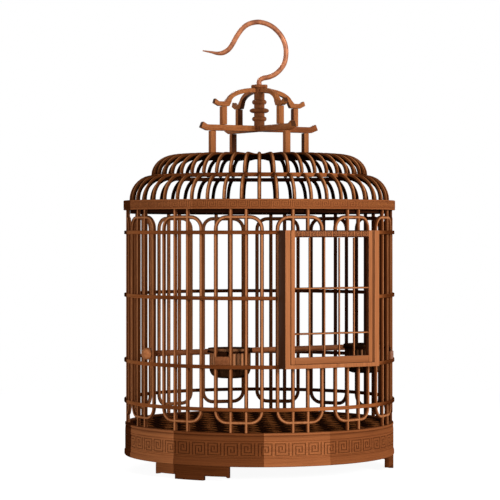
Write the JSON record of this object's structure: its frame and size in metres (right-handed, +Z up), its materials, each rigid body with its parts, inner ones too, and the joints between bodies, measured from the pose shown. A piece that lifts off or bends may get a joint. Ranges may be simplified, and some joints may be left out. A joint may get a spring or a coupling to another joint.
{
  "type": "bird cage",
  "caption": "Round bamboo bird cage with looped bars, a stepped dome, a post-and-beam crown, a swivel hook, a lift-up door, bracket feet, a perch and lift-out cups.",
  "frame": {"origin": "on the floor, on the cage's vertical axis, at the bottom centre of the bounding box", "axes": "+Z up along the cage's axis; the door faces -Y; +X is to the right of someone facing the door"},
  "size_m": [0.3376, 0.3342, 0.5441],
  "materials": {
    "lacquered_bamboo": "split and drawn bamboo, stained red-brown and lacquered",
    "lacquered_wood": "turned, bent and carved wood, stained red-brown and lacquered",
    "woven_floor": "dark coarse bamboo weave",
    "cup_wood": "dark turned wood, lacquered",
    "hook_metal": "brown patinated copper-coloured wire"
  },
  "bodies": {
    "root": {"base_hoop": "lacquered_bamboo", "base_ring": "lacquered_wood", "crown_arm_back": "lacquered_wood", "crown_arm_front": "lacquered_wood", "crown_arm_left": "lacquered_wood", "crown_arm_right": "lacquered_wood", "crown_beam_back": "lacquered_wood", "crown_beam_front": "lacquered_wood", "crown_beam_left": "lacquered_wood", "crown_beam_right": "lacquered_wood", "crown_spindle": "lacquered_wood", "cup_bracket_left": "lacquered_wood", "cup_bracket_right": "lacquered_wood", "dome_band": "lacquered_wood", "dome_lower_tier": "lacquered_bamboo", "dome_upper_tier": "lacquered_bamboo", "door_frame": "lacquered_wood", "foot_back": "lacquered_wood", "foot_left": "lacquered_wood", "foot_right": "lacquered_wood", "hook_collar": "lacquered_wood", "lattice_01": "lacquered_bamboo", "lattice_02": "lacquered_bamboo", "lattice_03": "lacquered_bamboo", "lattice_04": "lacquered_bamboo", "lattice_05": "lacquered_bamboo", "lattice_06": "lacquered_bamboo", "lattice_07": "lacquered_bamboo", "lattice_08": "lacquered_bamboo", "lattice_09": "lacquered_bamboo", "lattice_10": "lacquered_bamboo", "lattice_11": "lacquered_bamboo", "lattice_12": "lacquered_bamboo", "lattice_13": "lacquered_bamboo", "lattice_14": "lacquered_bamboo", "lower_hoop": "lacquered_bamboo", "lower_post_back": "lacquered_wood", "lower_post_front": "lacquered_wood", "lower_post_left": "lacquered_wood", "lower_post_right": "lacquered_wood", "middle_hoop": "lacquered_bamboo", "perch": "lacquered_bamboo", "perch_ball_left": "lacquered_wood", "perch_ball_right": "lacquered_wood", "upper_hoop": "lacquered_bamboo", "upper_post_back": "lacquered_wood", "upper_post_front": "lacquered_wood", "upper_post_left": "lacquered_wood", "upper_post_right": "lacquered_wood", "woven_floor": "woven_floor"},
    "hook": {"hook": "hook_metal"},
    "door": {"door_leaf": "lacquered_wood", "door_bars": "lacquered_bamboo"},
    "cup_left": {"feeding_cup_left": "cup_wood"},
    "cup_right": {"feeding_cup_right": "cup_wood"}
  },
  "joints": [
    {"name": "hook_swivel", "type": "hinge", "parent": "root", "child": "hook", "pos_m": [0, 0, 0.462], "axis": [0, 0, 1], "continuous": true},
    {"name": "door_lift", "type": "slide", "parent": "root", "child": "door", "axis": [0, 0, 1], "range_m": [0, 0.125]},
    {"name": "cup_left_lift", "type": "slide", "parent": "root", "child": "cup_left", "axis": [0, 0, 1], "range_m": [0, 0.033]},
    {"name": "cup_right_lift", "type": "slide", "parent": "root", "child": "cup_right", "axis": [0, 0, 1], "range_m": [0, 0.033]}
  ]
}
